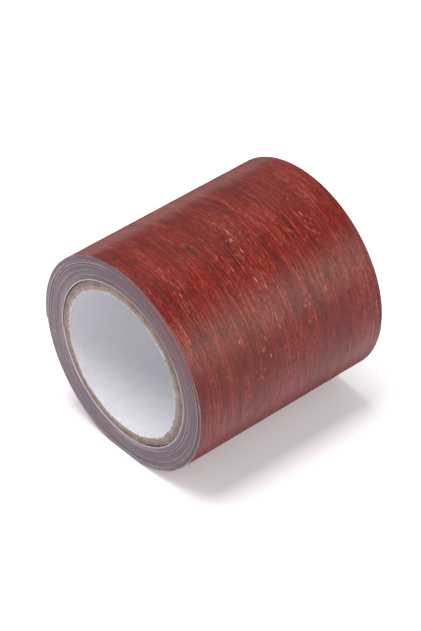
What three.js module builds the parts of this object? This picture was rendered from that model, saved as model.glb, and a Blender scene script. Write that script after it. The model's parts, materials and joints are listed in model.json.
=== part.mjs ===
// A roll of wood grain adhesive tape, lying on its side.
// The axis of the roll runs along Y, and the roll stands on a short flat at z = 0.
// Angles are in degrees about that axis: 0 points along +X and 90 points up.

import * as THREE from 'three';

// Driving dimensions, in millimetres.

const ROLL_WIDTH = 57.15;
const TAPE_THICKNESS = 0.22;
const TURNS_UNDER_OUTER_TURN = 27;
const FREE_END_LENGTH = 20;
const BORE_DIAMETER = 38;
const LINER_THICKNESS = 0.3;
const PLY_THICKNESS = 0.6;
const RESTING_FLAT_DEPTH = 0.5;

// Clearances, in millimetres.

const GLUE_LINE = 0.1;
const CORE_TO_TAPE_CLEARANCE = 0.1;
const TURN_CLEARANCE = 0.1;
const SEAM_CLEARANCE = 0.5;
const FOLD_CLEARANCE = 0.3;

// Where the free edge of the tape lies, and how finely a round is cut.

const FREE_EDGE_ANGLE = 186;
const STRAIGHT_DOWN = 270;
const FULL_TURN = 360;
const FACETS = 96;

// Radii that follow from the dimensions.

const linerRadius = BORE_DIAMETER / 2;
const innerPlyRadius = linerRadius + LINER_THICKNESS + GLUE_LINE;
const middlePlyRadius = innerPlyRadius + PLY_THICKNESS + GLUE_LINE;
const outerPlyRadius = middlePlyRadius + PLY_THICKNESS + GLUE_LINE;
const coreRadius = outerPlyRadius + PLY_THICKNESS;
const firstTurnRadius = coreRadius + CORE_TO_TAPE_CLEARANCE;
const windingRadius = firstTurnRadius + TURNS_UNDER_OUTER_TURN * TAPE_THICKNESS;
const turnPitch = TAPE_THICKNESS + TURN_CLEARANCE;
const seamRadius = windingRadius + turnPitch;

// The outer turn starts at the seam and runs once round, up to the fold of the free end.

const seamAngle = FREE_EDGE_ANGLE - FULL_TURN;
const startAngle = seamAngle + degreesOf(SEAM_CLEARANCE);
const freeEndAngle = FREE_EDGE_ANGLE - degreesOf(FREE_END_LENGTH);
const foldAngle = freeEndAngle - degreesOf(FOLD_CLEARANCE);

const axisHeight = spiralRadius(STRAIGHT_DOWN - FULL_TURN) - RESTING_FLAT_DEPTH;

// Finishes.

const finishes = {
  liner: { color: 0xe4e4e9, roughness: 0.6 },
  kraft: { color: 0xa8876a, roughness: 0.9 },
  tapeEdge: { color: 0x84747f, roughness: 0.7 },
  woodFilm: { color: 0x8c4a40, roughness: 0.4 },
};

// The angle that an arc of this length takes up on the outer turn.
function degreesOf(length) {
  return THREE.MathUtils.radToDeg(length / seamRadius);
}

// The printed face of the tape before the roll settles: it gains one pitch in a turn.
function spiralRadius(angle) {
  return seamRadius + (turnPitch * (angle - seamAngle)) / FULL_TURN;
}

// The point at this angle that lies a depth under the printed face, pressed flat at the bottom.
function pointUnderFace(angle, depth) {
  const downward = Math.cos(THREE.MathUtils.degToRad(angle - STRAIGHT_DOWN));
  const round = spiralRadius(angle) - depth;
  const floor = axisHeight - depth;
  return polarPoint(angle, round * downward > floor ? floor / downward : round);
}

function polarPoint(angle, radius) {
  const turn = THREE.MathUtils.degToRad(angle);
  return new THREE.Vector2(radius * Math.cos(turn), radius * Math.sin(turn));
}

// The angles from one to another, with a stop at each facet between them.
function sweep(from, to) {
  const step = FULL_TURN / FACETS;
  const angles = [from];
  for (let stop = Math.floor(from / step) + 1; stop * step < to; stop += 1) {
    angles.push(stop * step);
  }
  angles.push(to);
  return angles;
}

function circle(radius) {
  return sweep(0, FULL_TURN)
    .slice(0, -1)
    .map((angle) => polarPoint(angle, radius));
}

// A flat outline carried across the width of the roll. Core and tape are slit to one width.
function carriedAlongAxis(outline) {
  const geometry = new THREE.ExtrudeGeometry(outline, { depth: ROLL_WIDTH, steps: 1, bevelEnabled: false });
  geometry.translate(0, 0, -ROLL_WIDTH / 2);
  geometry.rotateX(Math.PI / 2);
  return geometry;
}

function ringOutline(outline, boreRadius) {
  const shape = new THREE.Shape(outline);
  shape.holes.push(new THREE.Path(circle(boreRadius)));
  return shape;
}

function stripOutline(from, to) {
  const angles = sweep(from, to);
  const printedFace = angles.map((angle) => pointUnderFace(angle, 0));
  const adhesiveFace = angles.map((angle) => pointUnderFace(angle, TAPE_THICKNESS));
  return [...printedFace, ...adhesiveFace.reverse()];
}

function namedMesh(name, geometry, finish) {
  const material = new THREE.MeshStandardMaterial({ metalness: 0, ...finish });
  const mesh = new THREE.Mesh(geometry, material);
  mesh.name = name;
  return mesh;
}

// One layer of the paper core.
function coreLayer(name, innerRadius, thickness, finish) {
  const outline = ringOutline(circle(innerRadius + thickness), innerRadius);
  return namedMesh(name, carriedAlongAxis(outline), finish);
}

// The white lining and the three kraft plies.
function makeCore() {
  const core = new THREE.Group();
  core.add(
    coreLayer('core_liner', linerRadius, LINER_THICKNESS, finishes.liner),
    coreLayer('core_inner_ply', innerPlyRadius, PLY_THICKNESS, finishes.kraft),
    coreLayer('core_middle_ply', middlePlyRadius, PLY_THICKNESS, finishes.kraft),
    coreLayer('core_outer_ply', outerPlyRadius, PLY_THICKNESS, finishes.kraft),
  );
  return core;
}

// The turns under the outer one, as one body whose face steps down by a pitch at the seam.
function makeWinding() {
  const face = sweep(seamAngle, FREE_EDGE_ANGLE).map((angle) => pointUnderFace(angle, turnPitch));
  const outline = ringOutline(face, firstTurnRadius);
  return namedMesh('tape_winding', carriedAlongAxis(outline), finishes.tapeEdge);
}

// A stretch of the outer turn.
function makeStrip(name, from, to) {
  const outline = new THREE.Shape(stripOutline(from, to));
  return namedMesh(name, carriedAlongAxis(outline), finishes.woodFilm);
}

// The least distance between points of the outer turn that lie more than half a turn apart along it.
function leastGapOfOuterTurn() {
  const angles = sweep(startAngle, FREE_EDGE_ANGLE);
  let least = Infinity;
  for (const near of angles) {
    for (const far of angles.filter((angle) => angle - near > FULL_TURN / 2)) {
      const printedFace = pointUnderFace(near, 0);
      const adhesiveFace = pointUnderFace(far, TAPE_THICKNESS);
      least = Math.min(least, printedFace.distanceTo(adhesiveFace));
    }
  }
  return least;
}

const roll = new THREE.Group();
roll.add(
  makeCore(),
  makeWinding(),
  makeStrip('tape_outer_turn', startAngle, foldAngle),
  makeStrip('tape_end', freeEndAngle, FREE_EDGE_ANGLE),
);
roll.position.z = axisHeight;

console.log(`Least gap of the outer turn to itself: ${leastGapOfOuterTurn().toFixed(2)} mm`);

export default roll;
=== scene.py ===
"""A roll of wood grain adhesive tape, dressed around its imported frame.

Lengths are in metres and angles in radians. The axis of the roll runs along Y, its near end face looks
along -Y, and it lies on the floor at z = 0. About the axis, 0 points along +X and a quarter turn points up.
"""

from __future__ import annotations

import json
import logging
import math
from abc import ABC, abstractmethod
from dataclasses import asdict, dataclass, fields
from enum import Enum, IntEnum
from functools import cached_property
from typing import Any, ClassVar

import bpy
import numpy as np
from mathutils import Matrix, Vector

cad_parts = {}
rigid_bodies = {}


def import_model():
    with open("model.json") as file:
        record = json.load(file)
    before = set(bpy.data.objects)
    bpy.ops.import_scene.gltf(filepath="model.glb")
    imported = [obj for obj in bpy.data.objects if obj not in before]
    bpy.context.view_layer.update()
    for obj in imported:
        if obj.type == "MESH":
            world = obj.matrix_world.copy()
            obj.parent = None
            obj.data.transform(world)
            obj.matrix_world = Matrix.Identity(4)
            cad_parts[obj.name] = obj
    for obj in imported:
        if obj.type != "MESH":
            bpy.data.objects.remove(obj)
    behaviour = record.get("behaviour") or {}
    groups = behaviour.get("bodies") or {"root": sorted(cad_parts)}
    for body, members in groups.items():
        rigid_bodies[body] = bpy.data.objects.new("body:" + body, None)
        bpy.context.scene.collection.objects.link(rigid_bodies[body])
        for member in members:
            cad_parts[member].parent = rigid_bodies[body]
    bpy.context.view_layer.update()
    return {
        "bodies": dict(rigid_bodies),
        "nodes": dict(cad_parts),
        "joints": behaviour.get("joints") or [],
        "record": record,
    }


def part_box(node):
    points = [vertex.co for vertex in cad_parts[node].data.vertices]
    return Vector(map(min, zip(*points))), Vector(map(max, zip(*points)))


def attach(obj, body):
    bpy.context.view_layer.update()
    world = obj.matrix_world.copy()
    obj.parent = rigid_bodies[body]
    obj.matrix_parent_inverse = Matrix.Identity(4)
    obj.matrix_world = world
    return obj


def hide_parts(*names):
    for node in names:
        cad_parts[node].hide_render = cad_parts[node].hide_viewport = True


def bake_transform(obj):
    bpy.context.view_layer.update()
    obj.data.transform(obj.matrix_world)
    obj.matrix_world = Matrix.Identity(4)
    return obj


LOG = logging.getLogger("tape_roll")
MM = 0.001
FULL_TURN = 2.0 * math.pi
STRAIGHT_DOWN = -0.25 * FULL_TURN
CREASE_ANGLE = math.radians(38.0)
PLIES = ("inner", "middle", "outer")
TAPE_MAP = "tape_map"
EDGE_TONE = "edge_tone"
EDGE_RED = "edge_red"
VEIN_ZONE = "vein_zone"
FLECK_ZONE = "fleck_zone"
NUMBER = "NodeSocketFloat"
VECTOR = "NodeSocketVector"

Colour = tuple[float, float, float]
Span = tuple[float, float]
Socket = bpy.types.NodeSocket


class Body(Enum):
    """The bodies of the frame."""

    ROLL = "roll"
    TAPE_END = "tape_end"


class Slot(Enum):
    """The material slots of the record."""

    LINER_PAPER = "liner_paper"
    KRAFT_BOARD = "kraft_board"
    TAPE_EDGES = "tape_edges"
    WOOD_FILM = "wood_film"


class TapeFace(IntEnum):
    """The faces of the tape, in the order of the materials on a strip."""

    PRINT = 0
    EDGE = 1
    ADHESIVE = 2


@dataclass(frozen=True)
class RollSizes:
    """Sizes and places that the pieces share. Those without a value here are read from the frame.

    Attributes:
        axis_height: Height of the roll's axis.
        half_width: From the middle of the roll to an end face.
        bore_radius: Inside of the white lining.
        ply_radii: Inside and outside of each kraft ply, from the bore outwards.
        fold: Point on the line that the free end folds about.
        liner_thickness: Thickness of the lining in CAD.
        ply_thickness: Thickness of a ply.
        tape_thickness: Thickness of the tape.
        turn_pitch: What the outer turn gains in radius in a full turn.
        flat_depth: How far the outer turn is pressed flat where the roll rests.
        seam_angle: Where the outer turn starts, under the free edge of the tape.
    """

    axis_height: float
    half_width: float
    bore_radius: float
    ply_radii: tuple[Span, ...]
    fold: Vector
    liner_thickness: float = 0.3 * MM
    ply_thickness: float = 0.6 * MM
    tape_thickness: float = 0.22 * MM
    turn_pitch: float = 0.32 * MM
    flat_depth: float = 0.5 * MM
    seam_angle: float = math.radians(186.0) - FULL_TURN

    @classmethod
    def from_frame(cls, frame: dict[str, Any]) -> RollSizes:
        """Reads the sizes from the boxes of the CAD nodes and from the joint.


        Returns:
            The sizes of the roll.
        """
        low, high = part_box("core_liner")
        outsides = [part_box(f"core_{place}_ply")[1].x for place in PLIES]
        return cls(
            axis_height=0.5 * (low.z + high.z),
            half_width=high.y,
            bore_radius=high.x - cls.liner_thickness,
            ply_radii=tuple((outside - cls.ply_thickness, outside) for outside in outsides),
            fold=Vector(frame["joints"][0]["pos_m"]),
        )

    @property
    def core_radius(self) -> float:
        """The outside of the paper core."""
        return self.ply_radii[-1][1]

    @property
    def bottom_radius(self) -> float:
        """The printed face straight under the axis, before the roll settles."""
        return self.axis_height + self.flat_depth

    @property
    def seam_radius(self) -> float:
        """The printed face of the outer turn where it starts."""
        return self.bottom_radius - self.turn_pitch * (STRAIGHT_DOWN - self.seam_angle) / FULL_TURN

    @property
    def fold_angle(self) -> float:
        """Where the free end folds, about the axis."""
        return math.atan2(self.fold.z - self.axis_height, self.fold.x)

    def about_axis(self, angle: np.ndarray, radius: np.ndarray, across: np.ndarray) -> np.ndarray:
        """The points at these angles and radii about the axis, and at these places along it."""
        grid = np.broadcast_arrays(radius * np.cos(angle), across, radius * np.sin(angle))
        return np.stack(grid, axis=-1) + np.array([0.0, 0.0, self.axis_height])


@dataclass(frozen=True)
class Waves:
    """Noise that is a sum of cosines, with evenly spaced frequencies in radians per unit of place.

    Whole numbers close the noise on itself round a ring.

    Attributes:
        lowest: Lowest frequency.
        highest: Highest frequency.
        count: Number of cosines.
    """

    lowest: float
    highest: float
    count: int

    def at(self, place: np.ndarray, seed: int) -> np.ndarray:
        """Sums the cosines, with seeded strengths and phases, to a spread of about one.

        Args:
            place: Where the noise is wanted.
            seed: Chooses the strengths and phases.

        Returns:
            The noise, in the shape of place.
        """
        draw = np.random.default_rng(seed)
        strengths = draw.normal(size=self.count)
        phases = draw.uniform(0.0, FULL_TURN, size=self.count)
        frequencies = np.linspace(self.lowest, self.highest, self.count)
        waves = np.cos(place[..., None] * frequencies + phases)
        return waves @ strengths * math.sqrt(2.0 / self.count)


def bump(place: np.ndarray, middle: float, reach: float) -> np.ndarray:
    """A bell curve: one at its middle, and falling off over its reach on both sides."""
    return np.exp(-(((place - middle) / reach) ** 2))


def around(angle: np.ndarray, middle: float, reach: float, period: float = FULL_TURN) -> np.ndarray:
    """A bell curve that comes round again after a period, by the shorter way from its middle."""
    return bump(np.mod(angle - middle + 0.5 * period, period) - 0.5 * period, 0.0, reach)


@dataclass(frozen=True)
class Side:
    """A side of the roll that differs from the rest.

    Attributes:
        middle: Its middle about the axis, in degrees.
        reach: How far it falls off on both sides, in radians.
        lift: What it adds at its middle.
    """

    middle: float
    reach: float
    lift: float

    def bell(self, angle: np.ndarray) -> np.ndarray:
        """One at its middle, and falling off on both sides."""
        return around(angle, math.radians(self.middle), self.reach)

    def at(self, angle: np.ndarray) -> np.ndarray:
        """What it adds at these angles."""
        return self.lift * self.bell(angle)


def section_faces(stations: int, points_around: int, closed_path: bool) -> np.ndarray:
    """Joins a grid of points, whose section closes on itself, with four-sided faces.

    Args:
        stations: Number of sections along the path.
        points_around: Number of points on a section, an even number.
        closed_path: Whether the last section joins the first. If not, each end is closed by faces
            between points that lie opposite each other on the section.

    Returns:
        The four points of each face, first those along the path and then those of the two ends.
    """
    points = np.arange(stations * points_around).reshape(stations, points_around)
    ahead = np.roll(points, -1, axis=1)
    sides = np.stack([points, ahead, np.roll(ahead, -1, axis=0), np.roll(points, -1, axis=0)], axis=-1)
    if closed_path:
        return sides.reshape(-1, 4)
    near = points[:, : points_around // 2]
    far = points[:, ::-1][:, : points_around // 2]
    ends = np.stack([near[:, :-1], far[:, :-1], far[:, 1:], near[:, 1:]], axis=-1)
    return np.concatenate([sides[:-1].reshape(-1, 4), ends[0], ends[-1][:, ::-1]])


def add_object(name: str, data: bpy.types.ID) -> bpy.types.Object:
    """Puts a new object in the scene, at the origin.

    Args:
        name: Name of the object.
        data: Its mesh, lamp or lens.

    Returns:
        The object.
    """
    added = bpy.data.objects.new(name, data)
    bpy.context.scene.collection.objects.link(added)
    return added


def add_solid(name: str, points: np.ndarray, closed_path: bool) -> bpy.types.Object:
    """Makes a closed solid of a section carried along a path, with its faces pointing outwards.

    The sum over the faces of the triple product of their corners gives the sign of the volume.

    Args:
        name: Name of the piece.
        points: Point j of the section at station i, as points[i, j].
        closed_path: Whether the last section joins the first.

    Returns:
        The new piece, at the origin.
    """
    faces = section_faces(points.shape[0], points.shape[1], closed_path)
    flat_points = points.reshape(-1, 3)
    a, b, c, d = (flat_points[faces[:, corner]] for corner in range(4))
    volume = np.einsum("ij,ij->", a, np.cross(b, c)) + np.einsum("ij,ij->", a, np.cross(c, d))
    if volume < 0.0:
        faces = faces[:, ::-1]
    mesh = bpy.data.meshes.new(name)
    mesh.from_pydata(flat_points.tolist(), [], faces.tolist())
    mesh.polygons.foreach_set("use_smooth", np.ones(len(faces), dtype=bool))
    mesh.set_sharp_from_angle(angle=CREASE_ANGLE)
    return add_object(name, mesh)


def add_map(piece: bpy.types.Object, places: np.ndarray) -> None:
    """Gives each corner of a piece the place of its point on the flat tape.

    Args:
        piece: A piece made by add_solid.
        places: The two coordinates of each point.
    """
    corners = np.empty(len(piece.data.loops), dtype=np.int32)
    piece.data.loops.foreach_get("vertex_index", corners)
    layer = piece.data.uv_layers.new(name=TAPE_MAP)
    layer.data.foreach_set("uv", places.reshape(-1, 2)[corners].astype(np.float32).ravel())


def add_values(piece: bpy.types.Object, name: str, values: np.ndarray) -> None:
    """Gives each point of a piece a value under this name."""
    attribute = piece.data.attributes.new(name, "FLOAT", "POINT")
    attribute.data.foreach_set("value", values.astype(np.float32).ravel())


def stand_for(node: str) -> None:
    """Lets a piece stand for a CAD node, by hiding the node."""
    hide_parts(node)


def rgba(colour: Socket | Colour) -> Any:
    """A colour with full cover, or the socket that gives one."""
    return colour if isinstance(colour, Socket) else (*colour, 1.0)


class NodeGraph:
    """A node tree that is built one node at a time."""

    def __init__(self, tree: bpy.types.NodeTree) -> None:
        """Empties the tree and keeps it."""
        tree.nodes.clear()
        self.tree = tree

    def add(self, kind: str, inputs: dict[Any, Any] | None = None, **settings: Any) -> bpy.types.Node:
        """Adds a node.

        Args:
            kind: Type of the node.
            inputs: What each input takes, by name or number: a socket is linked and a value is set.
            settings: Properties of the node.

        Returns:
            The new node.
        """
        node = self.tree.nodes.new(kind)
        for name, value in settings.items():
            setattr(node, name, value)
        for key, value in (inputs or {}).items():
            if isinstance(value, Socket):
                self.tree.links.new(value, node.inputs[key])
            else:
                node.inputs[key].default_value = value
        return node

    def math(self, operation: str, first: Socket | float, second: Socket | float = 0.0) -> Socket:
        """Adds a Math node and returns its value."""
        return self.add("ShaderNodeMath", {0: first, 1: second}, operation=operation).outputs[0]

    def mix(self, share: Socket | float, first: Socket | Colour, second: Socket | Colour) -> Socket:
        """Adds a Mix node for two colours and returns the mixed colour."""
        inputs = {0: share, 6: rgba(first), 7: rgba(second)}
        return self.add("ShaderNodeMix", inputs, data_type="RGBA").outputs[2]

    def cover(self, under: Socket | Colour, over: Colour, mask: Socket, share: Socket | float) -> Socket:
        """Lays a colour over another where a mask is one, as far as its share goes."""
        return self.mix(self.math("MULTIPLY", mask, share), under, over)

    def spread(
        self, value: Socket, low: float, high: float, first: float = 0.0, last: float = 1.0
    ) -> Socket:
        """Adds a Map Range node that takes low to first and high to last, and returns its value."""
        inputs = {"Value": value, "From Min": low, "From Max": high, "To Min": first, "To Max": last}
        return self.add("ShaderNodeMapRange", inputs).outputs["Result"]


@dataclass(frozen=True)
class Streaks:
    """A pattern of streaks along the tape. Each field is an input of the group that draws streaks.

    Attributes:
        length: Length of a streak on the flat tape, in millimetres.
        width: Width of a streak, in millimetres.
        layer: Chooses one of many patterns of that size.
        low: Noise below which nothing shows.
        high: Noise above which a streak is full.
        detail: How far the streaks are broken up.
    """

    length: float
    width: float
    layer: float
    low: float
    high: float
    detail: float = 2.0


def new_group(name: str, inputs: dict[str, str], outputs: dict[str, str]) -> bpy.types.NodeTree:
    """Makes an empty shader node group.

    Args:
        name: Name of the group.
        inputs: Type of each input, by its name.
        outputs: Type of each output, by its name.

    Returns:
        The group, with its sockets and no nodes.
    """
    group = bpy.data.node_groups.new(name, "ShaderNodeTree")
    for way, sockets in (("INPUT", inputs), ("OUTPUT", outputs)):
        for socket, kind in sockets.items():
            group.interface.new_socket(socket, in_out=way, socket_type=kind)
    return group


def make_streaks() -> bpy.types.NodeTree:
    """Builds the group that draws streaks along the tape.

    It is noise whose cells are Length long and Width wide on the flat tape, cut off below Low and full
    above High.

    Returns:
        The group.
    """
    sizes = {field.name.capitalize(): NUMBER for field in fields(Streaks)}
    group = new_group("tape_streaks", {"Place": VECTOR, **sizes}, {"Mask": NUMBER})
    graph = NodeGraph(group)
    given = graph.add("NodeGroupInput").outputs
    flat = graph.add("ShaderNodeSeparateXYZ", {0: given["Place"]}).outputs
    along = graph.math("DIVIDE", flat["X"], given["Length"])
    across = graph.math("DIVIDE", flat["Y"], given["Width"])
    cell = graph.add("ShaderNodeCombineXYZ", {"X": along, "Y": across, "Z": given["Layer"]}).outputs[0]
    settings = {"Vector": cell, "Scale": 1.0, "Detail": given["Detail"]}
    noise = graph.add("ShaderNodeTexNoise", settings).outputs["Fac"]
    limits = {"Value": noise, "From Min": given["Low"], "From Max": given["High"]}
    cut = graph.add("ShaderNodeMapRange", limits, interpolation_type="SMOOTHSTEP").outputs["Result"]
    graph.add("NodeGroupOutput", {"Mask": cut})
    return group


def make_fibres() -> bpy.types.NodeTree:
    """Builds the group that draws the tangled fibres of paper.

    It takes the mean of noise of the given Size, in metres, and of noise of a fifth of it: Clouds is the
    coarse part and Fibres is the mean.

    Returns:
        The group.
    """
    outputs = {"Clouds": NUMBER, "Fibres": NUMBER}
    group = new_group("paper_fibres", {"Place": VECTOR, "Size": NUMBER}, outputs)
    graph = NodeGraph(group)
    given = graph.add("NodeGroupInput").outputs
    coarse_scale = graph.math("DIVIDE", 1.0, given["Size"])
    fine_scale = graph.math("MULTIPLY", coarse_scale, 5.0)
    shared = {"Vector": given["Place"], "Detail": 3.0}
    coarse = graph.add("ShaderNodeTexNoise", {**shared, "Scale": coarse_scale, "Roughness": 0.6})
    fine = graph.add("ShaderNodeTexNoise", {**shared, "Scale": fine_scale, "Distortion": 1.5})
    clouds = coarse.outputs["Fac"]
    both = graph.math("ADD", clouds, fine.outputs["Fac"])
    graph.add("NodeGroupOutput", {"Clouds": clouds, "Fibres": graph.math("MULTIPLY", both, 0.5)})
    return group


@dataclass(frozen=True)
class Effects:
    """The node groups that the finishes share.

    Attributes:
        streaks: Draws streaks along the tape.
        fibres: Draws the tangled fibres of paper.
    """

    streaks: bpy.types.NodeTree
    fibres: bpy.types.NodeTree


class Painter(NodeGraph):
    """The nodes of one material, with the effects that it draws on."""

    def __init__(self, tree: bpy.types.NodeTree, effects: Effects) -> None:
        """Empties the tree, and keeps it and the effects."""
        super().__init__(tree)
        self.effects = effects

    @cached_property
    def tape_place(self) -> Socket:
        """The place on the flat tape, in millimetres."""
        return self.add("ShaderNodeUVMap", uv_map=TAPE_MAP).outputs["UV"]

    def values(self, name: str) -> Socket:
        """The values that the points of a piece have under this name."""
        return self.add("ShaderNodeAttribute", attribute_name=name).outputs["Fac"]

    def effect(self, group: bpy.types.NodeTree, inputs: dict[str, Any]) -> bpy.types.NodeOutputs:
        """Adds a node group and returns its outputs."""
        return self.add("ShaderNodeGroup", inputs, node_tree=group).outputs

    def streaks(self, pattern: Streaks) -> Socket:
        """Draws a pattern: one on its streaks and nought between them."""
        sizes = {name.capitalize(): value for name, value in asdict(pattern).items()}
        return self.effect(self.effects.streaks, {"Place": self.tape_place, **sizes})["Mask"]

    def fibres(self, size: float) -> bpy.types.NodeOutputs:
        """Draws fibres of this size, and returns their Clouds and Fibres."""
        place = self.add("ShaderNodeTexCoord").outputs["Object"]
        return self.effect(self.effects.fibres, {"Place": place, "Size": size})

    def relief(self, height: Socket, depth: float, strength: float) -> Socket:
        """Adds a Bump node of this depth and returns its normal."""
        inputs = {"Height": height, "Distance": depth, "Strength": strength}
        return self.add("ShaderNodeBump", inputs).outputs["Normal"]


class Finish(ABC):
    """A finish that is painted with nodes and ends in a Principled shader.

    Attributes:
        name: Name of its material.
        ior: Index of refraction of its surface.
    """

    name: ClassVar[str]
    ior: ClassVar[float]

    @abstractmethod
    def surface(self, paint: Painter) -> dict[str, Any]:
        """What the shader takes besides the index of refraction, by the names of its inputs."""

    def material(self, effects: Effects) -> bpy.types.Material:
        """Makes the material.

        Args:
            effects: The node groups that the finishes share.

        Returns:
            The material.
        """
        material = bpy.data.materials.new(self.name)
        material.use_nodes = True
        paint = Painter(material.node_tree, effects)
        shader = paint.add("ShaderNodeBsdfPrincipled", {**self.surface(paint), "IOR": self.ior})
        paint.add("ShaderNodeOutputMaterial", {"Surface": shader.outputs[0]})
        return material


@dataclass(frozen=True)
class PrintLayer:
    """One layer of the wood grain print.

    Attributes:
        colour: Colour of the ink.
        cover: How far the ink covers what is under it, from 0 to 1.
        streaks: Where the ink lies.
        zone: Name of the values on the tape that say where the ink is dense, if it isn't everywhere.
    """

    colour: Colour
    cover: float
    streaks: Streaks
    zone: str | None = None


@dataclass(frozen=True)
class WoodFilm(Finish):
    """Printed mahogany grain under a satin film.

    Attributes:
        warm: Red of the clear stretches.
        cool: Purple brown of the broad patches.
        shade: Dark of the grain lines.
        pore: Near black of the veins.
        salmon: Pale red of the fine lines.
        fleck: Colour of the short bright flecks.
        roughness: Of the film, on its clear red and on its dark ink.
        glance: Roughness that the film seems to have when it is seen at a glancing angle.
        glance_facing: Values of Facing between which that roughness sets in.
        ripples: Small waves in the film.
        ripple_depth: Depth of those waves.
        ridge_pitch: Distance between the finest lines of the print, in millimetres.
        ridge_cover: How far the ink of those lines covers what is under it.
        wave_rate: Radians that the Wave texture goes through in a unit of place, at a Scale of one.
    """

    name: ClassVar[str] = "wood_film"
    ior: ClassVar[float] = 1.36
    warm: Colour = (0.232, 0.0105, 0.0044)
    cool: Colour = (0.165, 0.0085, 0.0052)
    shade: Colour = (0.060, 0.0052, 0.0036)
    pore: Colour = (0.030, 0.007, 0.006)
    salmon: Colour = (0.450, 0.135, 0.091)
    fleck: Colour = (0.760, 0.270, 0.200)
    roughness: Span = (0.29, 0.42)
    glance: float = 0.68
    glance_facing: Span = (0.45, 0.88)
    ripples: Streaks = Streaks(0.8, 1.3, 33.0, 0.2, 0.8, 1.0)
    ripple_depth: float = 0.012 * MM
    ridge_pitch: float = 0.85
    ridge_cover: float = 0.22
    wave_rate: float = 20.0

    def layers(self) -> dict[str, PrintLayer]:
        """The layers of the print, in the order that they are laid down."""
        return {
            "pale_lines": PrintLayer(self.salmon, 0.38, Streaks(7.0, 0.50, 5.1, 0.38, 0.82, 0.0)),
            "pale_ticks": PrintLayer(self.salmon, 0.52, Streaks(1.5, 0.44, 8.2, 0.50, 0.82, 1.0)),
            "patches": PrintLayer(self.cool, 0.70, Streaks(26.0, 4.5, 1.3, 0.36, 0.66)),
            "bands": PrintLayer(self.shade, 0.30, Streaks(14.0, 2.2, 3.3, 0.40, 0.80, 0.0)),
            "dark_lines": PrintLayer(self.shade, 0.32, Streaks(10.0, 0.48, 2.7, 0.38, 0.78, 0.0)),
            "dark_ticks": PrintLayer(self.shade, 0.52, Streaks(1.4, 0.46, 10.4, 0.50, 0.78, 1.0)),
            "specks": PrintLayer(self.shade, 0.42, Streaks(0.40, 0.60, 19.7, 0.50, 0.74, 0.0)),
            "smudges": PrintLayer(self.pore, 0.35, Streaks(3.5, 1.6, 17.3, 0.58, 0.80, 0.0)),
            "veins": PrintLayer(self.pore, 0.90, Streaks(6.0, 0.34, 9.4, 0.44, 0.60, 1.0), VEIN_ZONE),
            "flecks": PrintLayer(self.fleck, 0.78, Streaks(2.2, 0.42, 14.2, 0.61, 0.74, 1.5), FLECK_ZONE),
        }

    def ridges(self, paint: Painter) -> Socket:
        """Draws fine lines along the tape, a pitch apart, that wander a little.

        Args:
            paint: The nodes of the material.

        Returns:
            One on the lines and nought between them.
        """
        wander = {"Distortion": 4.0, "Detail": 1.0, "Detail Scale": 0.12}
        scale = FULL_TURN / (self.wave_rate * self.ridge_pitch)
        inputs = {"Vector": paint.tape_place, "Scale": scale, **wander}
        return paint.add("ShaderNodeTexWave", inputs, bands_direction="Y").outputs["Fac"]

    def surface(self, paint: Painter) -> dict[str, Any]:
        """Lays the layers of the print on the flat tape.

        Args:
            paint: The nodes of the material.

        Returns:
            What the shader takes.
        """
        colour: Socket | Colour = self.warm
        masks = {}
        for name, layer in self.layers().items():
            mask = paint.streaks(layer.streaks)
            if layer.zone is not None:
                mask = paint.math("MULTIPLY", mask, paint.values(layer.zone))
            colour = paint.cover(colour, layer.colour, mask, layer.cover)
            masks[name] = mask
        facing = paint.add("ShaderNodeLayerWeight").outputs["Facing"]
        dark_ink = paint.math("MAXIMUM", masks["dark_lines"], masks["dark_ticks"])
        head_on = paint.spread(dark_ink, 0.0, 1.0, *self.roughness)
        glancing = paint.spread(facing, *self.glance_facing, 0.0, self.glance)
        return {
            "Base Color": paint.cover(colour, self.shade, self.ridges(paint), self.ridge_cover),
            "Roughness": paint.math("MAXIMUM", head_on, glancing),
            "Normal": paint.relief(paint.streaks(self.ripples), self.ripple_depth, 1.0),
        }


@dataclass(frozen=True)
class TapeEdge(Finish):
    """The slit edges of the wound tape.

    Attributes:
        dark: Colour of a tone of 0.
        middle: Colour of a tone of a half.
        pale: Colour of a tone of 1.
        print_red: Red of the print that shows through here and there.
        smears: Where the tone changes along a turn.
        wander: How far the tone changes along a turn.
        prints: Where the print shows.
        roughness: Between the smears and on them.
    """

    name: ClassVar[str] = "tape_edge"
    ior: ClassVar[float] = 1.5
    dark: Colour = (0.105, 0.080, 0.098)
    middle: Colour = (0.212, 0.172, 0.205)
    pale: Colour = (0.780, 0.650, 0.630)
    print_red: Colour = (0.240, 0.080, 0.074)
    smears: Streaks = Streaks(3.0, 100.0, 0.0, 0.3, 0.7)
    wander: float = 0.07
    prints: Streaks = Streaks(6.0, 100.0, 4.0, 0.3, 0.7)
    roughness: Span = (0.45, 0.62)

    def surface(self, paint: Painter) -> dict[str, Any]:
        """Colours each turn by its tone, and breaks the tone up along the tape.

        Args:
            paint: The nodes of the material.

        Returns:
            What the shader takes.
        """
        smears = paint.streaks(self.smears)
        prints = paint.streaks(self.prints)
        wander = paint.spread(smears, 0.0, 1.0, -self.wander, self.wander)
        tone = paint.math("ADD", paint.values(EDGE_TONE), wander)
        colour = paint.mix(paint.spread(tone, 0.0, 0.5), self.dark, self.middle)
        colour = paint.mix(paint.spread(tone, 0.5, 1.0), colour, self.pale)
        return {
            "Base Color": paint.cover(colour, self.print_red, prints, paint.values(EDGE_RED)),
            "Roughness": paint.spread(smears, 0.0, 1.0, *self.roughness),
        }


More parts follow.
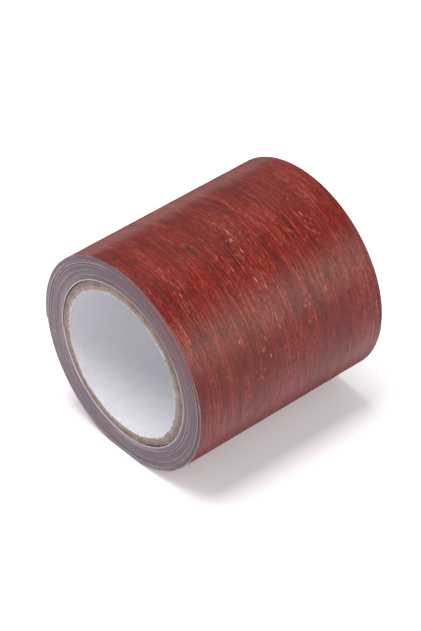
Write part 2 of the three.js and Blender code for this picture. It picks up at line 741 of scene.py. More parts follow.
@dataclass(frozen=True)
class AdhesiveBack(Finish):
    """The glossy adhesive under the film, seen when the free end is lifted.

    Attributes:
        clear: Colour where the adhesive is thick.
        thin: Colour where it is thin and the print shows through.
        bands: Where it is thin, in long bands as a coating blade leaves them.
        band_cover: How far the thin colour shows there.
        mottle: Small lumps in the adhesive.
        mottle_depth: Depth of the lumps.
        mottle_strength: How far they turn the light.
        roughness: Between the lumps and on them.
    """

    name: ClassVar[str] = "adhesive_back"
    ior: ClassVar[float] = 1.48
    clear: Colour = (0.430, 0.340, 0.340)
    thin: Colour = (0.300, 0.180, 0.175)
    bands: Streaks = Streaks(30.0, 2.2, 21.0, 0.3, 0.7, 0.0)
    band_cover: float = 0.6
    mottle: Streaks = Streaks(1.6, 1.1, 23.0, 0.3, 0.7, 0.0)
    mottle_depth: float = 0.01 * MM
    mottle_strength: float = 0.6
    roughness: Span = (0.18, 0.30)

    def surface(self, paint: Painter) -> dict[str, Any]:
        """Coats the tape in faint bands and lumps.

        Args:
            paint: The nodes of the material.

        Returns:
            What the shader takes.
        """
        mottle = paint.streaks(self.mottle)
        return {
            "Base Color": paint.cover(self.clear, self.thin, paint.streaks(self.bands), self.band_cover),
            "Roughness": paint.spread(mottle, 0.0, 1.0, *self.roughness),
            "Normal": paint.relief(mottle, self.mottle_depth, self.mottle_strength),
        }


@dataclass(frozen=True)
class KraftBoard(Finish):
    """Raw kraft board with a fibrous cut edge.

    Attributes:
        tan: Main colour.
        shade: Colour between the fibres.
        straw: Colour of the loose pale fibres.
        fibre_size: Size of the tangles.
        fibre_depth: How far the fibres stand out.
        fibre_strength: How far they turn the light.
        hollows: Fibre values at which the shade between the fibres starts and is full.
        hollow_cover: How far that shade covers the board.
        ends: Fibre values at which the loose fibres start and are full.
        end_cover: How far the loose fibres cover the board.
        clouds: Cloud values between which the roughness changes.
        roughness: At those values.
    """

    name: ClassVar[str] = "kraft_board"
    ior: ClassVar[float] = 1.4
    tan: Colour = (0.505, 0.402, 0.345)
    shade: Colour = (0.170, 0.122, 0.098)
    straw: Colour = (0.480, 0.415, 0.370)
    fibre_size: float = 0.75 * MM
    fibre_depth: float = 0.08 * MM
    fibre_strength: float = 0.8
    hollows: Span = (0.52, 0.36)
    hollow_cover: float = 0.85
    ends: Span = (0.52, 0.66)
    end_cover: float = 0.7
    clouds: Span = (0.3, 0.7)
    roughness: Span = (0.82, 0.95)

    def surface(self, paint: Painter) -> dict[str, Any]:
        """Darkens the hollows between the fibres and lightens the loose ends.

        Args:
            paint: The nodes of the material.

        Returns:
            What the shader takes.
        """
        tangle = paint.fibres(self.fibre_size)
        hollows = paint.spread(tangle["Fibres"], *self.hollows)
        ends = paint.spread(tangle["Fibres"], *self.ends)
        colour = paint.mix(paint.values(EDGE_TONE), self.shade, self.tan)
        colour = paint.cover(colour, self.shade, hollows, self.hollow_cover)
        return {
            "Base Color": paint.cover(colour, self.straw, ends, self.end_cover),
            "Roughness": paint.spread(tangle["Clouds"], *self.clouds, *self.roughness),
            "Normal": paint.relief(tangle["Fibres"], self.fibre_depth, self.fibre_strength),
        }


@dataclass(frozen=True)
class LinerPaper(Finish):
    """Smooth white paper that lines the bore.

    Attributes:
        white: Main colour.
        shade: Colour of the faint clouds in the paper.
        torn: Colour of the fibres in its torn edge.
        fibre_size: Size of the clouds.
        fibre_depth: How far the fibres stand out.
        fibre_strength: How far they turn the light.
        clouds: Cloud values between which the shade comes in.
        brown: Fibre values between which the torn edge browns.
        brown_cover: How far the brown covers the torn edge.
        sheen: Fibre values between which the roughness changes.
        roughness: At those values.
    """

    name: ClassVar[str] = "liner_paper"
    ior: ClassVar[float] = 1.45
    white: Colour = (0.836, 0.836, 0.873)
    shade: Colour = (0.802, 0.802, 0.841)
    torn: Colour = (0.540, 0.440, 0.370)
    fibre_size: float = 2.2 * MM
    fibre_depth: float = 0.02 * MM
    fibre_strength: float = 0.5
    clouds: Span = (0.35, 0.65)
    brown: Span = (0.40, 0.60)
    brown_cover: float = 0.9
    sheen: Span = (0.3, 0.7)
    roughness: Span = (0.42, 0.58)

    def surface(self, paint: Painter) -> dict[str, Any]:
        """Clouds the paper faintly, browns its torn edge and gives it a soft sheen.

        Args:
            paint: The nodes of the material.

        Returns:
            What the shader takes.
        """
        tangle = paint.fibres(self.fibre_size)
        colour = paint.mix(paint.spread(tangle["Clouds"], *self.clouds), self.white, self.shade)
        brown = paint.spread(tangle["Fibres"], *self.brown, 0.0, self.brown_cover)
        return {
            "Base Color": paint.cover(colour, self.torn, brown, paint.values(EDGE_TONE)),
            "Roughness": paint.spread(tangle["Fibres"], *self.sheen, *self.roughness),
            "Normal": paint.relief(tangle["Fibres"], self.fibre_depth, self.fibre_strength),
        }


@dataclass(frozen=True)
class Finishes:
    """The materials of the roll.

    Attributes:
        film: Printed face of the tape.
        edge: Slit edges of the tape.
        adhesive: Underside of the tape.
        kraft: Plies of the core.
        liner: Lining of the bore.
    """

    film: bpy.types.Material
    edge: bpy.types.Material
    adhesive: bpy.types.Material
    kraft: bpy.types.Material
    liner: bpy.types.Material

    @classmethod
    def make(cls) -> Finishes:
        """Builds the shared effects and then the materials, in the order of the fields.

        Returns:
            The materials.
        """
        effects = Effects(make_streaks(), make_fibres())
        kinds = (WoodFilm(), TapeEdge(), AdhesiveBack(), KraftBoard(), LinerPaper())
        return cls(*(finish.material(effects) for finish in kinds))

    def dress_tape(self, piece: bpy.types.Object, faces: np.ndarray) -> None:
        """Puts film, edge and adhesive on the faces of a strip.

        Args:
            piece: A strip of tape.
            faces: The TapeFace of each of its faces.
        """
        for material in (self.film, self.edge, self.adhesive):
            piece.data.materials.append(material)
        piece.data.polygons.foreach_set("material_index", faces.astype(np.int32))


@dataclass(frozen=True)
class TapeSection:
    """The outline of the tape across its length.

    Attributes:
        across: Place of each point across the width, from the middle.
        depth: Depth of each point under the printed face.
        faces: The TapeFace between each point and the next.
    """

    across: np.ndarray
    depth: np.ndarray
    faces: np.ndarray

    @classmethod
    def slit(cls, half_width: float, thickness: float, bevel: float, columns: int) -> TapeSection:
        """Lays out two faces of evenly spaced points, joined by edges with bevelled corners.

        Args:
            half_width: Half the width of the tape.
            thickness: Thickness of the tape.
            bevel: Size of the bevel at each corner.
            columns: Points across each face.

        Returns:
            The outline, from the front edge over the printed face and back under the adhesive.
        """
        face = np.linspace(bevel - half_width, half_width - bevel, columns)
        edge = np.array([bevel, thickness - bevel])
        sides = np.full(2, half_width)
        across = np.concatenate([-sides[:1], face, sides, face[::-1], -sides[:1]])
        printed, stuck = np.zeros(columns), np.full(columns, thickness)
        depth = np.concatenate([edge[:1], printed, edge, stuck, edge[1:]])
        faces = np.full(across.size, TapeFace.EDGE)
        faces[1:columns] = TapeFace.PRINT
        faces[columns + 3 : 2 * columns + 2] = TapeFace.ADHESIVE
        return cls(across, depth, faces)


@dataclass(frozen=True)
class PrintColumns:
    """Columns of the wood grain print in which its boldest marks stand close together.

    A column is given as its middle and reach across the tape in millimetres, and as its middle and reach
    round the roll in degrees.

    Attributes:
        repeat: The angle after which the print comes round again.
        sparse: How dense the marks are outside the columns, against one inside them.
        veins: Columns of near black veins.
        flecks: Columns of short bright flecks.
    """

    repeat: float = FULL_TURN / 3.0
    sparse: float = 0.10
    veins: tuple[tuple[float, float, float, float], ...] = (
        (-24.9, 0.7, 66.0, 6.0),
        (-22.3, 0.9, 45.0, 11.0),
        (-10.4, 0.7, 53.0, 4.0),
        (-10.4, 0.8, 67.0, 5.0),
        (-11.0, 0.8, 80.0, 5.0),
        (-3.0, 0.8, 22.0, 9.0),
        (-3.2, 0.8, 43.0, 9.0),
        (-4.2, 0.7, 67.0, 7.0),
        (3.6, 0.9, 38.0, 14.0),
        (5.2, 0.9, 65.0, 9.0),
        (4.2, 0.9, 88.0, 10.0),
        (8.7, 0.8, 48.0, 4.0),
        (11.2, 0.9, 18.0, 9.0),
        (12.2, 0.9, 39.0, 8.0),
        (13.6, 0.8, 67.0, 15.0),
        (12.2, 0.9, 93.0, 8.0),
    )
    flecks: tuple[tuple[float, float, float, float], ...] = (
        (-26.4, 0.9, 52.0, 20.0),
        (-21.7, 1.0, 66.0, 16.0),
        (-14.6, 1.2, 32.0, 6.0),
        (-9.0, 1.3, 12.0, 7.0),
        (-7.0, 1.3, 20.0, 6.0),
        (-6.6, 1.2, 67.0, 8.0),
        (-1.7, 1.4, 58.0, 42.0),
        (7.6, 1.2, 28.0, 13.0),
        (13.0, 1.0, 67.0, 6.0),
        (13.2, 1.0, 32.0, 6.0),
        (18.4, 1.2, 67.0, 14.0),
    )

    def zones(self, angle: np.ndarray, across: np.ndarray) -> dict[str, np.ndarray]:
        """How dense the marks are: the sum of a bell across the tape times one round the roll.

        Args:
            angle: Angle of each point about the axis.
            across: Place of each point across the tape, from its middle.

        Returns:
            Nought to one at each point, by the name of the values.
        """
        zones = {}
        for name, columns in ((VEIN_ZONE, self.veins), (FLECK_ZONE, self.flecks)):
            density = np.full(np.broadcast_shapes(angle.shape, across.shape), self.sparse)
            for middle, reach, place, run in columns:
                round_roll = around(angle, math.radians(place), math.radians(run), self.repeat)
                density += bump(across / MM, middle, reach) * round_roll
            zones[name] = np.minimum(density, 1.0)
        return zones


@dataclass
class WoundTape:
    """A stretch of the tape, wound in a spiral and pressed flat where the roll rests.

    Attributes:
        roll: Sizes of the roll.
        name: Name of the piece.
        node: CAD node that the piece stands for.
        slot: Material slot of the piece. Not used.
        first_angle: Where the stretch starts.
        last_angle: Where it ends, counted on through the turns.
        last_radius: Printed face at the end of the stretch.
        pitch: What the face gains in radius in a full turn.
        thickness: Thickness of the tape.
        columns: Points across each face.
        steps: Stations in a full turn.
        bevel: Bevel of the slit corners.
        ripple: How far the printed face wanders in and out across the width.
        ripple_waves: Noise that it follows, by millimetres across.
        tone_level: Tone of the slit edges, from 0 for dark to 1 for pale.
        tone_noise: How far that tone wanders along the tape.
        tone_waves: Noise that it follows, by the angle.
        pale_side: Where the edges are paler. On the winding this is a painted sheen on the left of the end
            face.
        red_level: How much of the print shows on the edges.
        red_side: Where more of it shows.
    """

    roll: RollSizes
    name: str
    node: str
    slot: Slot
    first_angle: float
    last_angle: float
    last_radius: float
    pitch: float
    thickness: float
    columns: int
    steps: int
    bevel: float = 0.03 * MM
    ripple: float = 0.0
    ripple_waves: Waves = Waves(0.15, 1.1, 12)
    tone_level: float = 0.56
    tone_noise: float = 0.05
    tone_waves: Waves = Waves(3.0, 39.0, 37)
    pale_side: Side = Side(-50.0, 0.45, 0.14)
    red_level: float = 0.35
    red_side: Side = Side(50.0, 1.0, 1.60)

    def angles(self) -> np.ndarray:
        """The angle of each station."""
        turns = (self.last_angle - self.first_angle) / FULL_TURN
        return np.linspace(self.first_angle, self.last_angle, max(2, math.ceil(turns * self.steps) + 1))

    def face_radius(self, angle: np.ndarray) -> np.ndarray:
        """The spiral of the printed face, which gains one pitch in a full turn."""
        return self.last_radius + self.pitch * (angle - self.last_angle) / FULL_TURN

    def drift(self, angle: np.ndarray) -> np.ndarray:
        """How far the tape lies off the middle of the roll, along the axis."""
        return np.zeros_like(angle)

    def tone(self, angle: np.ndarray) -> np.ndarray:
        """The tone of the slit edges: noise round a level, and a lift on the pale side."""
        noise = self.tone_noise * self.tone_waves.at(angle, seed=29)
        return self.tone_level + noise + self.pale_side.at(angle)

    def red(self, angle: np.ndarray) -> np.ndarray:
        """How much of the print shows on the slit edges."""
        return self.red_level + self.red_side.at(angle)

    def points(self, section: TapeSection) -> np.ndarray:
        """Carries the section along the spiral.

        A point lies its depth under the spiral, or on the flat where the spiral would go through it.
        The flat is as deep as the turn's share of the way from the core to the outer turn.

        Args:
            section: The outline of the tape.

        Returns:
            Point j of the section at station i.
        """
        angle = self.angles()[:, None]
        depth = section.depth[None, :]
        from_bottom = np.mod(angle - STRAIGHT_DOWN + math.pi, FULL_TURN) - math.pi
        bottom = self.face_radius(angle - from_bottom)
        core = self.roll.core_radius
        share = (bottom - core) / (self.roll.bottom_radius - core)
        floor = bottom - self.roll.flat_depth * share - depth
        downward = np.cos(from_bottom)
        radius = self.face_radius(angle) - depth
        pressed = radius * downward > floor
        radius = np.where(pressed, floor / np.where(pressed, downward, 1.0), radius)
        wander = self.ripple_waves.at(section.across / MM, seed=5)
        radius = radius + self.ripple * np.where(section.faces == TapeFace.PRINT, wander, 0.0)
        return self.roll.about_axis(angle, radius, section.across[None, :] + self.drift(angle))

    def places(self, section: TapeSection) -> np.ndarray:
        """The place of each point on the flat tape in millimetres: along its length, then across."""
        along = self.angles()[:, None] * self.roll.seam_radius / MM
        return np.stack(np.broadcast_arrays(along, section.across[None, :] / MM), axis=-1)

    def build(self, finishes: Finishes) -> bpy.types.Object:
        """Makes the strip, maps it, and dresses its faces.

        Args:
            finishes: The materials.

        Returns:
            The piece, which doesn't ride on a body yet.
        """
        section = TapeSection.slit(self.roll.half_width, self.thickness, self.bevel, self.columns)
        piece = add_solid(self.name, self.points(section), closed_path=False)
        add_map(piece, self.places(section))
        angle = self.angles()
        for name, values in ((EDGE_TONE, self.tone(angle)), (EDGE_RED, self.red(angle))):
            add_values(piece, name, np.repeat(values, section.across.size))
        for name, values in PrintColumns().zones(angle[:, None], section.across[None, :]).items():
            add_values(piece, name, values)
        spans = np.tile(section.faces, angle.size - 1)
        ends = np.full(len(piece.data.polygons) - spans.size, TapeFace.EDGE)
        finishes.dress_tape(piece, np.concatenate([spans, ends]))
        stand_for(self.node)
        return piece


@dataclass
class Winding(WoundTape):
    """All the turns under the outer one, as one strip.

    Attributes:
        turns: Number of turns.
        loose_turn: The turn at which they are halfway from even to loose.
        even_drift: How far the inner turns lie off the middle.
        loose_drift: How far the loose turns lie off it.
        drift_waves: Noise that this follows, by the angle.
        loose_noise: What the tone wanders more in the loose turns.
        loose_red: What the red side gains in them.
        red_shade: How much darker the edges are on the red side.
        calm_side: Where the turns differ less from each other.
        painted_contact_shade: Painted shade: the loose edges are darker next to the floor, where the roll
            rests on it.
        first_turn: The pale turn on the core, as middle and reach in turns and lift of the tone.
        pale_turns: Other turns whose edges are paler, given the same way.
    """

    tone_level: float = 0.418
    tone_noise: float = 0.09
    tone_waves: Waves = Waves(0.17, 3.1, 31)
    # Painted sheen: the left of the end face is lightened, where the grooved edges of the turns reflect
    # more light.
    pale_side: Side = Side(-170.0, 0.7, 0.12)
    red_level: float = 0.12
    red_side: Side = Side(45.0, 0.75, 0.65)
    turns: int = 27
    loose_turn: float = 19.0
    even_drift: float = 0.030 * MM
    loose_drift: float = 0.075 * MM
    drift_waves: Waves = Waves(0.21, 2.3, 25)
    loose_noise: float = 0.05
    loose_red: float = 0.40
    red_shade: float = 0.17
    calm_side: Side = Side(195.0, 0.95, -0.6)
    # Painted shade on the loose edges next to the floor, where the roll rests.
    painted_contact_shade: Side = Side(-92.0, 0.50, -0.15)
    first_turn: tuple[float, float, float] = (0.50, 1.15, 0.62)
    pale_turns: tuple[tuple[float, float, float], ...] = (
        (4.5, 3.0, 0.05),
        (7.3, 0.5, 0.12),
        (21.0, 0.6, 0.16),
        (23.6, 0.6, 0.18),
        (26.4, 0.7, 0.12),
    )

    def turn(self, angle: np.ndarray) -> np.ndarray:
        """The number of turns from the core."""
        return (angle - self.first_angle) / FULL_TURN

    def looseness(self, angle: np.ndarray) -> np.ndarray:
        """Nought in the inner turns, rising to one in the outermost."""
        return 1.0 / (1.0 + np.exp(self.loose_turn - self.turn(angle)))

    def drift(self, angle: np.ndarray) -> np.ndarray:
        """Noise that changes within a turn, and is wider in the loose turns."""
        reach = self.even_drift + (self.loose_drift - self.even_drift) * self.looseness(angle)
        return reach * self.drift_waves.at(angle, seed=11)

    def tone(self, angle: np.ndarray) -> np.ndarray:
        """The tone of the edges: noise in each turn, a lift on the pale turns, painted sheen and painted
        shade.

        Args:
            angle: Angle of each station.

        Returns:
            The tone there, from 0 for dark to 1 for pale.
        """
        turn, loose = self.turn(angle), self.looseness(angle)
        noise = self.tone_noise + self.loose_noise * loose
        differences = noise * self.tone_waves.at(angle, seed=17)
        for middle, reach, lift in self.pale_turns:
            differences = differences + lift * bump(turn, middle, reach)
        middle, reach, lift = self.first_turn
        tone = self.tone_level + lift * bump(turn, middle, reach)
        # The pale side here adds a painted sheen on the left of the end face.
        tone = tone + differences * (1.0 + self.calm_side.at(angle)) + self.pale_side.at(angle)
        # Painted shade darkens the loose edges next to the floor.
        tone = tone - self.red_shade * self.red_side.bell(angle) + loose * self.painted_contact_shade.at(angle)
        return np.clip(tone, 0.0, 1.0)

    def red(self, angle: np.ndarray) -> np.ndarray:
        """A little all round, and more on the red side, most of all in the loose turns."""
        gain = self.red_side.lift + self.loose_red * self.looseness(angle)
        return self.red_level + gain * self.red_side.bell(angle)


@dataclass
class TapeRoll:
    """The wound tape: the winding, the outer turn and the free end.

    Attributes:
        roll: Sizes of the roll.
        finishes: The materials.
        gap: What the inner turns leave between them.
        first_depth: Adhesive face of the first turn, over the core.
        inner_steps: Stations in a turn of the winding.
        outer_steps: Stations in the outer turn.
        outer_columns: Points across the outer turn.
        ripple: How far the face of the outer turn wanders in and out.
        bend_length: How much of the free end bends when it is lifted. Not used.
    """

    roll: RollSizes
    finishes: Finishes
    gap: float = 0.022 * MM
    first_depth: float = 0.03 * MM
    inner_steps: int = 160
    outer_steps: int = 420
    outer_columns: int = 73
    ripple: float = 0.012 * MM
    bend_length: float = 5.5 * MM

    def winding(self) -> Winding:
        """Works out the inner turns, which end flush with the start of the outer turn.

        Returns:
            The winding.
        """
        roll = self.roll
        room = roll.seam_radius - roll.core_radius - self.first_depth
        pitch = (room + self.gap) / (Winding.turns + 1)
        seam = roll.seam_angle + FULL_TURN
        return Winding(
            roll=roll,
            name="tape_inner_turns",
            node="tape_winding",
            slot=Slot.TAPE_EDGES,
            first_angle=seam - Winding.turns * FULL_TURN,
            last_angle=seam,
            last_radius=roll.seam_radius,
            pitch=pitch,
            thickness=pitch - self.gap,
            columns=2,
            steps=self.inner_steps,
        )

    def outer_strip(self, name: str, node: str, first_angle: float, last_angle: float) -> WoundTape:
        """Works out a stretch of the outer turn.

        Args:
            name: Name of the piece.
            node: CAD node that it stands for.
            first_angle: Where it starts.
            last_angle: Where it ends.

        Returns:
            The stretch.
        """
        roll = self.roll
        gained = roll.turn_pitch * (last_angle - roll.seam_angle) / FULL_TURN
        return WoundTape(
            roll=roll,
            name=name,
            node=node,
            slot=Slot.WOOD_FILM,
            first_angle=first_angle,
            last_angle=last_angle,
            last_radius=roll.seam_radius + gained,
            pitch=roll.turn_pitch,
            thickness=roll.tape_thickness,
            columns=self.outer_columns,
            steps=self.outer_steps,
            ripple=self.ripple,
        )

    def build(self) -> list[bpy.types.Object]:
        """Winds the tape. The free end follows the roll from its fold on.

        Returns:
            The pieces.
        """
        roll = self.roll
        fold = roll.fold_angle
        outer_turn = self.outer_strip("outer_turn", "tape_outer_turn", roll.seam_angle, fold)
        free_end = self.outer_strip("free_end", "tape_end", fold, roll.seam_angle + FULL_TURN)
        pieces = [strip.build(self.finishes) for strip in (self.winding(), outer_turn, free_end)]
        for piece in pieces[:-1]:
            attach(piece, Body.ROLL.value)
        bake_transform(pieces[-1])
        return pieces


@dataclass
class PaperCore:
    """The paper core: a white lining and three kraft plies.

    Attributes:
        roll: Sizes of the roll.
        finishes: The materials.
        steps: Stations round the core.
        wall_rows: Points along the wall of the bore.
        end_rows: Points across the cut end of a ply.
        paper_thickness: Thickness of the lining.
        lip_reach: How far the torn lining spreads over the cut edge of the board, at most.
        lip_height: How far the lining stands proud of the end of the board.
        lip_thickness: Thickness of the torn lining.
        lip_share: Share of its reach that the lip has everywhere, before it frays and wanders.
        lip_fray: Share by which it frays.
        fray_waves: Noise that the fray follows.
        lip_wander: Share by which it wanders.
        wander_waves: Noise that the wander follows.
        lip_least: Share that is left where it is torn off.
        torn_from: Share of the way to the end at which the wall starts to look torn.
        torn_tones: How torn the lining looks there, at the end of the wall and on the lip.
        glue_line: What is left open between plies.
        cut_depth: How far the cut board lies under the end face.
        cut_roughness: How far its fibres stand up and down.
        fibre_limit: How many times that they do so at most.
        fibre_waves: Noise that the fibres follow.
        fibre_seed: Chooses the fibres of the plies, with ten more for each millimetre of radius.
        dents: Where the outer ply is pressed in and leaves a gap under the tape.
        tone_shares: Shares of the way from the lining to the tape at which a tone is given.
        tones: Tone of the cut board there, from 0 for dark to 1 for pale.
        tone_noise: How far that tone wanders round the ring.
        tone_waves: Noise that it follows.
        pale_sides: Where the cut board is paler or darker.
    """

    roll: RollSizes
    finishes: Finishes
    steps: int = 600
    wall_rows: int = 30
    end_rows: int = 7
    paper_thickness: float = 0.11 * MM
    lip_reach: float = 0.55 * MM
    lip_height: float = 0.08 * MM
    lip_thickness: float = 0.05 * MM
    lip_share: float = 0.10
    lip_fray: float = 0.34
    fray_waves: Waves = Waves(9.0, 149.0, 141)
    lip_wander: float = 0.32
    wander_waves: Waves = Waves(2.0, 13.0, 12)
    lip_least: float = 0.02
    torn_from: float = 0.95
    torn_tones: tuple[float, float, float] = (0.0, 0.4, 1.0)
    glue_line: float = 0.02 * MM
    cut_depth: float = 0.06 * MM
    cut_roughness: float = 0.03 * MM
    fibre_limit: float = 1.6
    fibre_waves: Waves = Waves(15.0, 219.0, 205)
    fibre_seed: int = 41
    dents: tuple[Side, ...] = (Side(-58.0, 0.20, -0.34 * MM), Side(150.0, 0.28, -0.12 * MM))
    tone_shares: tuple[float, ...] = (0.0, 0.40, 0.55, 0.85, 1.0)
    tones: tuple[float, ...] = (1.0, 0.86, 0.43, 0.36, 0.36)
    tone_noise: float = 0.09
    tone_waves: Waves = Waves(1.0, 29.0, 29)
    pale_sides: tuple[Side, ...] = (
        Side(167.0, 0.55, 0.20),
        Side(32.0, 0.60, -0.16),
        Side(-135.0, 0.40, 0.08),
    )

    @property
    def paper_radius(self) -> float:
        """The outside of the lining."""
        return self.roll.bore_radius + self.paper_thickness

    @property
    def cad_gap(self) -> float:
        """The gap that the CAD plies leave for glue."""
        return self.roll.ply_radii[1][0] - self.roll.ply_radii[0][1]

    def angles(self) -> np.ndarray:
        """The angle of each station."""
        return np.linspace(0.0, FULL_TURN, self.steps, endpoint=False)

    def ring(self, name: str, radius: np.ndarray, across: np.ndarray) -> bpy.types.Object:
        """Carries a section round the axis, given by the radius of its points and their place along it."""
        points = self.roll.about_axis(self.angles()[:, None], radius, across)
        return add_solid(name, points, closed_path=True)

    def lip(self, seed: int) -> np.ndarray:
        """How far the torn lining spreads outwards: noise cut off at both ends.

        Args:
            seed: Chooses the tear.

        Returns:
            The spread at each station.
        """
        frayed = self.lip_fray * self.fray_waves.at(self.angles(), seed)
        wandering = self.lip_wander * self.wander_waves.at(self.angles(), seed)
        torn = self.lip_share + frayed + wandering
        return self.lip_reach * np.clip(torn, self.lip_least, 1.0)

    def cut_tone(self, radius: np.ndarray) -> np.ndarray:
        """The tone of the cut board: it falls from the lining to the tape, and is clouded round the ring.

        Args:
            radius: Radius of point j of a section at station i.

        Returns:
            The tone at each point.
        """
        angle = self.angles()[:, None]
        share = (radius - self.paper_radius) / (self.roll.core_radius - self.paper_radius)
        tone = np.interp(share, self.tone_shares, self.tones)
        tone = tone + self.tone_noise * self.tone_waves.at(angle, seed=53)
        for side in self.pale_sides:
            tone = tone + side.at(angle)
        return tone

    def liner(self) -> bpy.types.Object:
        """Lines the bore: a thin tube whose torn ends turn out over the cut edge of the board.

        Returns:
            The piece.
        """
        end, bore, outside = self.roll.half_width, self.roll.bore_radius, self.paper_radius
        wall = np.linspace(-end, end, self.wall_rows)
        top = end + self.lip_height
        under = top - self.lip_thickness
        near_lip = outside + self.lip(seed=31)
        far_lip = outside + self.lip(seed=37)
        fixed = np.ones(self.steps)
        columns = [fixed * bore] * self.wall_rows
        columns += [0.5 * (far_lip + bore), far_lip, far_lip, fixed * outside]
        columns += [fixed * outside, near_lip, near_lip, 0.5 * (near_lip + bore)]
        across = np.concatenate([wall, [top, top, under, under, -under, -under, -top, -top]])
        piece = self.ring("white_lining", np.stack(columns, axis=1), across[None, :])
        torn = np.interp(np.abs(across), (self.torn_from * end, end, under), self.torn_tones)
        add_values(piece, EDGE_TONE, np.tile(torn, self.steps))
        piece.data.materials.append(self.finishes.liner)
        stand_for("core_liner")
        return piece

    def ply(self, place: str, radii: Span) -> bpy.types.Object:
        """Rolls one ply of board, with fibres that stand up and down on its cut ends.

        It meets its neighbours up to a glue line. The inner ply starts at the lining, and the outer one
        is dented under the tape.

        Args:
            place: Which of the plies it is.
            radii: Inside and outside of the ply in CAD.

        Returns:
            The piece.
        """
        angle, rows = self.angles(), self.end_rows
        spread = 0.5 * (self.cad_gap - self.glue_line)
        inside = self.paper_radius + self.glue_line if place == PLIES[0] else radii[0] - spread
        outside = np.full(self.steps, radii[1] + spread)
        if place == PLIES[-1]:
            outside = radii[1] + sum(dent.at(angle) for dent in self.dents)
        end_radius = inside + (outside[:, None] - inside) * np.linspace(0.0, 1.0, rows)[None, :]
        seed = self.fibre_seed + 10 * round(radii[0] / MM)
        fibres = [self.fibre_waves.at(angle, seed + row) for row in range(2 * rows)]
        rough = self.cut_roughness * np.clip(np.stack(fibres, axis=1), -self.fibre_limit, self.fibre_limit)
        end = self.roll.half_width - self.cut_depth
        radius = np.concatenate([end_radius, end_radius[:, ::-1]], axis=1)
        across = np.concatenate([-end + rough[:, :rows], end + rough[:, rows:]], axis=1)
        piece = self.ring(f"kraft_{place}_ply", radius, across)
        add_values(piece, EDGE_TONE, self.cut_tone(radius))
        piece.data.materials.append(self.finishes.kraft)
        stand_for(f"core_{place}_ply")
        return piece

    def build(self) -> list[bpy.types.Object]:
        """Makes the lining and the plies, and puts them on the roll.

        Returns:
            The pieces.
        """
        pieces = [self.liner()]
        pieces += [self.ply(place, radii) for place, radii in zip(PLIES, self.roll.ply_radii)]
        for piece in pieces:
            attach(piece, Body.ROLL.value)
        return pieces


@dataclass(frozen=True)
class Window:
    """A window in the walls of the studio, which fades towards its sides, foot and top.

    Attributes:
        light: Light from its brightest part.
        azimuth: Its middle about Z, in degrees from +X.
        reach: Angles from that middle between which it fades, in degrees.
        foot: Height of its foot on the unit sphere.
        middle: Height of its brightest part there.
        top: Height of its top there.
    """

    light: Colour
    azimuth: float
    reach: Span
    foot: float
    middle: float
    top: float


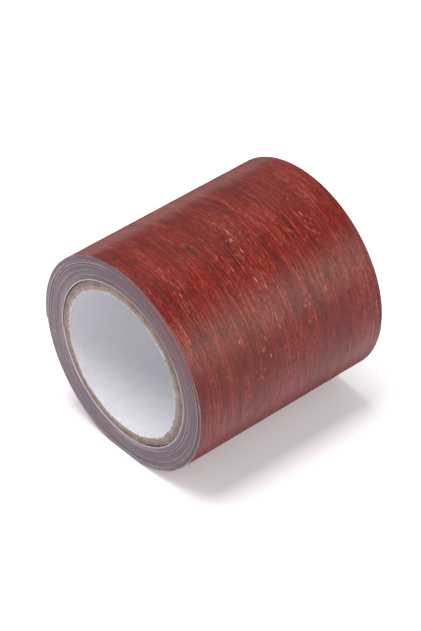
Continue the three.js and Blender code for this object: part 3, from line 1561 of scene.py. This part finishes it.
@dataclass
class Studio:
    """The floor, the light and the camera.

    Attributes:
        roll: Sizes of the roll.
        eye: The camera's place, from the middle of the roll.
        azimuth: How far the camera stands round from straight in front of the end face, in degrees.
        elevation: How far it looks down, in degrees.
        focal_pixels: Focal length of the photograph in pixels.
        long_side: Long side of the photograph in pixels.
        sensor_width: Width of the camera's sensor, in millimetres.
        floor_reach: From the middle of the floor to its sides.
        floor_white: Colour of the floor as it is seen.
        floor_bounce: Colour of the light that it throws back on the roll.
        floor_lift: What the floor gives off towards the camera, to show as white.
        key_power: Power of the soft box over the roll, in watts.
        key_place: Middle of the soft box, from the middle of the floor.
        key_size: Its sides along X and Y.
        wall_light: Light from the walls of the studio.
        ceiling_light: Light from its ceiling, and from the dark gap between its walls.
        ceiling_rise: Heights on the unit sphere between which the walls give way to the ceiling.
        gap_azimuth: Middle of the dark gap about Z, in degrees from +X.
        gap_reach: Angles from that middle between which the gap gives way to the walls, in degrees.
        windows: Windows that give the film its sheen.
    """

    roll: RollSizes
    eye: tuple[float, float, float] = (0.4102, -0.3632, 0.4567)
    azimuth: float = 48.56
    elevation: float = 39.87
    focal_pixels: float = 3000.0
    long_side: float = 631.0
    sensor_width: float = 36.0
    floor_reach: float = 8.0
    floor_white: Colour = (0.985, 0.962, 1.0)
    floor_bounce: Colour = (0.67, 0.65, 0.68)
    floor_lift: float = 0.15
    key_power: float = 8.9
    key_place: tuple[float, float, float] = (-0.105, -0.155, 1.0)
    key_size: Span = (0.46, 0.70)
    wall_light: Colour = (0.725, 0.725, 0.755)
    ceiling_light: Colour = (0.11, 0.11, 0.118)
    ceiling_rise: Span = (0.83, 0.92)
    gap_azimuth: float = 115.0
    gap_reach: Span = (62.0, 95.0)
    windows: tuple[Window, ...] = (
        Window((4.40, 4.25, 3.95), azimuth=36.0, reach=(12.0, 26.0), foot=-0.30, middle=0.39, top=0.75),
        Window((0.82, 0.81, 0.78), azimuth=128.0, reach=(14.0, 42.0), foot=-0.05, middle=0.72, top=0.95),
    )

    def floor(self) -> None:
        """Lays a flat floor that shows as white and keeps the roll's shadow."""
        reach = self.floor_reach
        corners = [(x * reach, y * reach, 0.0) for x, y in ((-1, -1), (1, -1), (1, 1), (-1, 1))]
        mesh = bpy.data.meshes.new("floor")
        mesh.from_pydata(corners, [], [[0, 1, 2, 3]])
        material = bpy.data.materials.new("pale_floor")
        material.use_nodes = True
        graph = NodeGraph(material.node_tree)
        seen = self.seen_directly(graph)
        colour = graph.mix(seen, self.floor_bounce, self.floor_white)
        diffuse = graph.add("ShaderNodeBsdfDiffuse", {"Color": colour})
        lift = graph.math("MULTIPLY", seen, self.floor_lift)
        glow = graph.add("ShaderNodeEmission", {"Strength": lift})
        both = graph.add("ShaderNodeAddShader", {0: diffuse.outputs[0], 1: glow.outputs[0]})
        graph.add("ShaderNodeOutputMaterial", {"Surface": both.outputs[0]})
        mesh.materials.append(material)
        add_object("floor", mesh)

    @staticmethod
    def seen_directly(graph: NodeGraph) -> Socket:
        """Tells the rays that show the floor from those that only carry its light.

        Args:
            graph: The nodes of the floor.

        Returns:
            One for rays from the camera and for those in gloss and glass, and otherwise nought.
        """
        path = graph.add("ShaderNodeLightPath").outputs
        gloss = graph.math("MAXIMUM", path["Is Glossy Ray"], path["Is Transmission Ray"])
        return graph.math("MAXIMUM", path["Is Camera Ray"], gloss)

    def walls(self) -> None:
        """Lights the studio from its walls and windows.

        The walls and each window fade with the height of a direction on the unit sphere, and with its
        angle about Z from the middle of the gap or of the window.
        """
        world = bpy.data.worlds.new("studio")
        world.use_nodes = True
        bpy.context.scene.world = world
        graph = NodeGraph(world.node_tree)
        direction = graph.add("ShaderNodeTexCoord").outputs["Generated"]
        height = graph.add("ShaderNodeSeparateXYZ", {0: direction}).outputs["Z"]
        flattening = {0: direction, 1: (1.0, 1.0, 0.0)}
        level = graph.add("ShaderNodeVectorMath", flattening, operation="MULTIPLY").outputs[0]
        heading = graph.add("ShaderNodeVectorMath", {0: level}, operation="NORMALIZE").outputs[0]
        gap = self.near_azimuth(graph, heading, self.gap_azimuth, self.gap_reach)
        below_ceiling = graph.spread(height, *self.ceiling_rise, 1.0, 0.0)
        wall = graph.math("MULTIPLY", graph.math("SUBTRACT", 1.0, gap), below_ceiling)
        light = graph.mix(wall, self.ceiling_light, self.wall_light)
        for window in self.windows:
            rise = graph.spread(height, window.foot, window.middle)
            fall = graph.spread(height, window.middle, window.top, 1.0, 0.0)
            across = self.near_azimuth(graph, heading, window.azimuth, window.reach)
            light = graph.cover(light, window.light, graph.math("MINIMUM", rise, fall), across)
        background = graph.add("ShaderNodeBackground", {"Color": light})
        graph.add("ShaderNodeOutputWorld", {"Surface": background.outputs[0]})

    @staticmethod
    def near_azimuth(graph: NodeGraph, heading: Socket, middle: float, reach: Span) -> Socket:
        """How near a level direction is to an azimuth.

        Args:
            graph: The world's nodes.
            heading: The level direction.
            middle: The azimuth about Z, in degrees from +X.
            reach: Angles from it between which one falls to nought, in degrees.

        Returns:
            One near the azimuth and nought away from it.
        """
        azimuth = math.radians(middle)
        toward = (math.cos(azimuth), math.sin(azimuth), 0.0)
        facing = graph.add("ShaderNodeVectorMath", {0: heading, 1: toward}, operation="DOT_PRODUCT")
        full, none = (math.cos(math.radians(angle)) for angle in reach)
        return graph.spread(facing.outputs["Value"], none, full)

    def key_light(self) -> None:
        """Hangs a soft box over the roll, facing down."""
        lamp = bpy.data.lights.new("key_light", "AREA")
        lamp.shape = "RECTANGLE"
        lamp.energy = self.key_power
        lamp.size, lamp.size_y = self.key_size
        add_object("key_light", lamp).location = self.key_place

    def camera(self) -> None:
        """Sets the camera where the photograph was taken from."""
        across, up = math.radians(self.azimuth), math.radians(self.elevation)
        level = math.cos(up)
        back = Vector((math.sin(across) * level, -math.cos(across) * level, math.sin(up)))
        right = Vector((math.cos(across), math.sin(across), 0.0))
        lens = bpy.data.cameras.new("camera")
        lens.sensor_width = self.sensor_width
        lens.lens = self.focal_pixels / self.long_side * self.sensor_width
        turn = Matrix((right, back.cross(right), back)).transposed().to_4x4()
        middle = Vector((0.0, 0.0, self.roll.axis_height))
        camera = add_object("camera", lens)
        camera.matrix_world = Matrix.Translation(middle + Vector(self.eye)) @ turn
        bpy.context.scene.camera = camera

    def build(self) -> None:
        """Sets up the whole studio."""
        bpy.context.scene.view_settings.view_transform = "Standard"
        self.camera()
        self.floor()
        self.walls()
        self.key_light()


def main() -> None:
    """Loads the frame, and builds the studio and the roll."""
    logging.basicConfig(level=logging.INFO, format="%(name)s: %(message)s")
    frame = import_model()
    roll = RollSizes.from_frame(frame)
    Studio(roll).build()
    finishes = Finishes.make()
    for assembly in (PaperCore(roll, finishes), TapeRoll(roll, finishes)):
        for piece in assembly.build():
            LOG.info("%s: %d faces", piece.name, len(piece.data.polygons))


if __name__ == "__main__":
    main()
